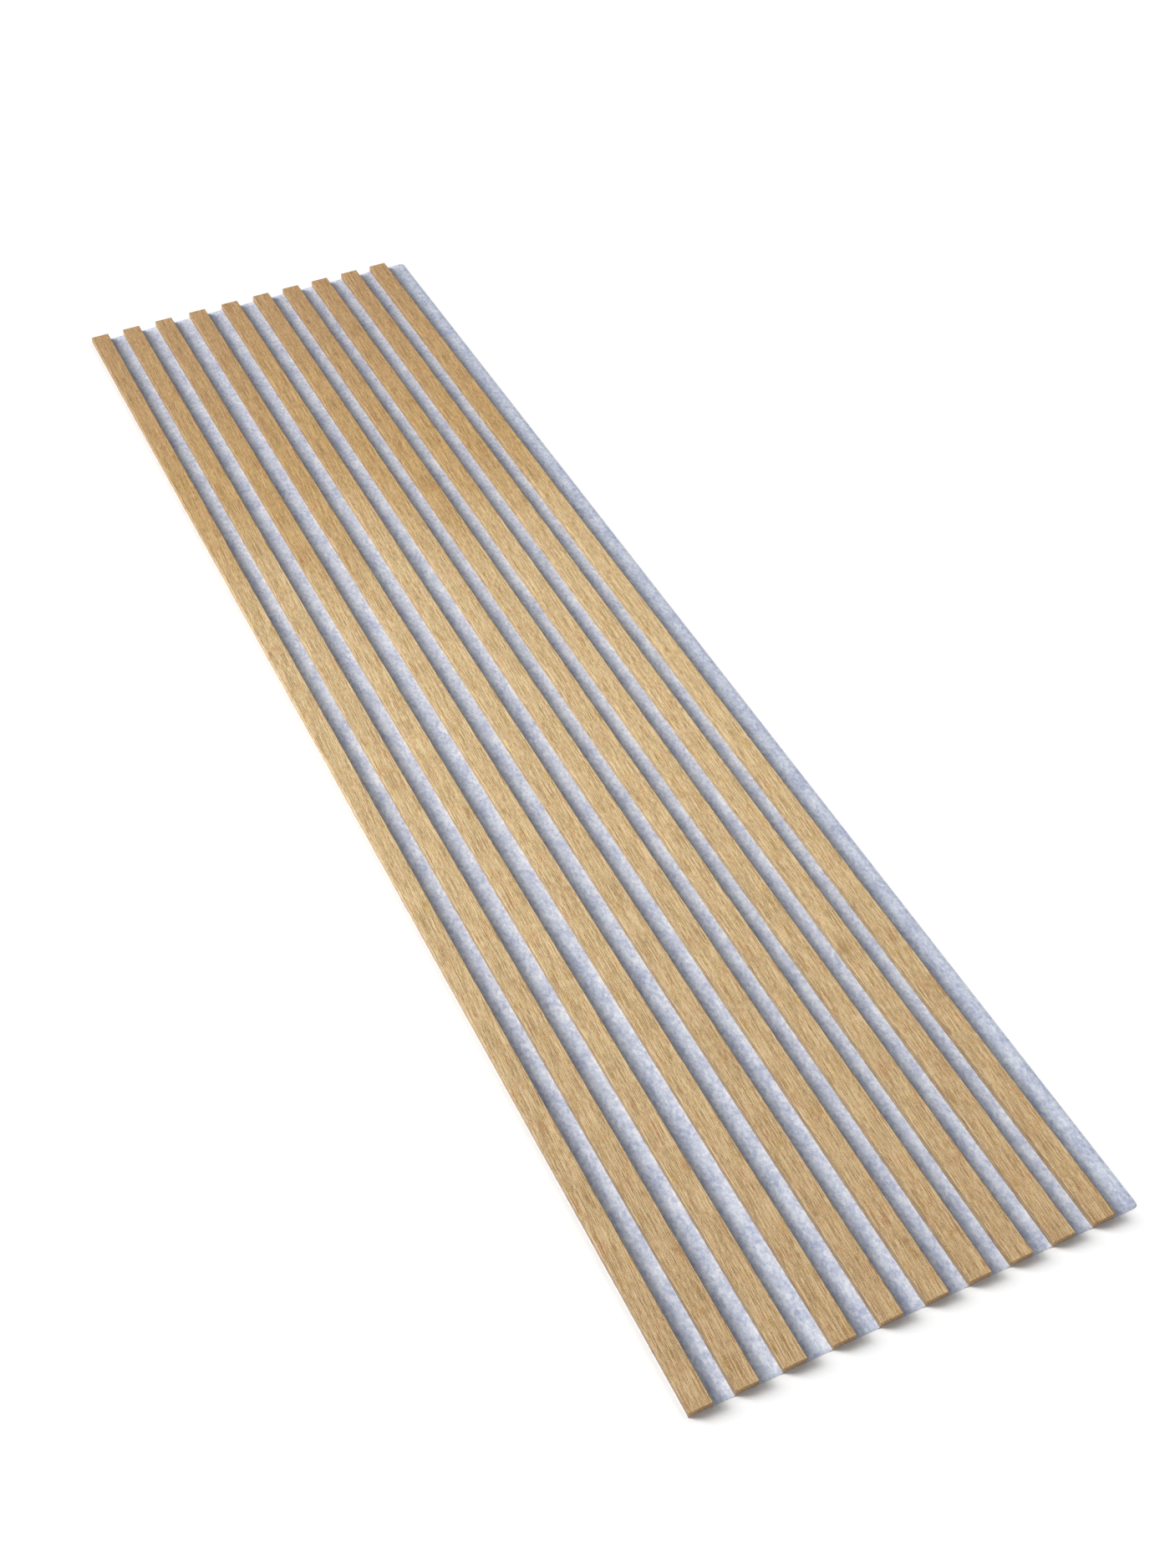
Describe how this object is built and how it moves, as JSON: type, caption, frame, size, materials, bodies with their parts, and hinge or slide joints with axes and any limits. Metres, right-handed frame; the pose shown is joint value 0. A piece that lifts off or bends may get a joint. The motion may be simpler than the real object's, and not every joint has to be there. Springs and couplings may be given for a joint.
{
  "type": "acoustic slat wall panel",
  "caption": "Wall panel of slim oak slats laid lengthwise on a thin grey felt sheet, with a bare felt margin along one edge; quiets a room and dresses its wall.",
  "frame": {"origin": "middle of the back of the felt, which is the face that goes against the wall", "axes": "+Z out of the slatted face, +Y along the slats, +X across them towards the bare felt margin; the panel lies on its back"},
  "size_m": [0.634, 2.4, 0.012],
  "materials": {
    "felt": "soft mottled needle felt",
    "oak": "matt oak with open grain",
    "staple_steel": "bright galvanised wire"
  },
  "bodies": {
    "root": {"felt_backing": "felt", "slat_01": "oak", "slat_02": "oak", "slat_03": "oak", "slat_04": "oak", "slat_05": "oak", "slat_06": "oak", "slat_07": "oak", "slat_08": "oak", "slat_09": "oak", "slat_10": "oak", "staples": "staple_steel"}
  },
  "joints": []
}
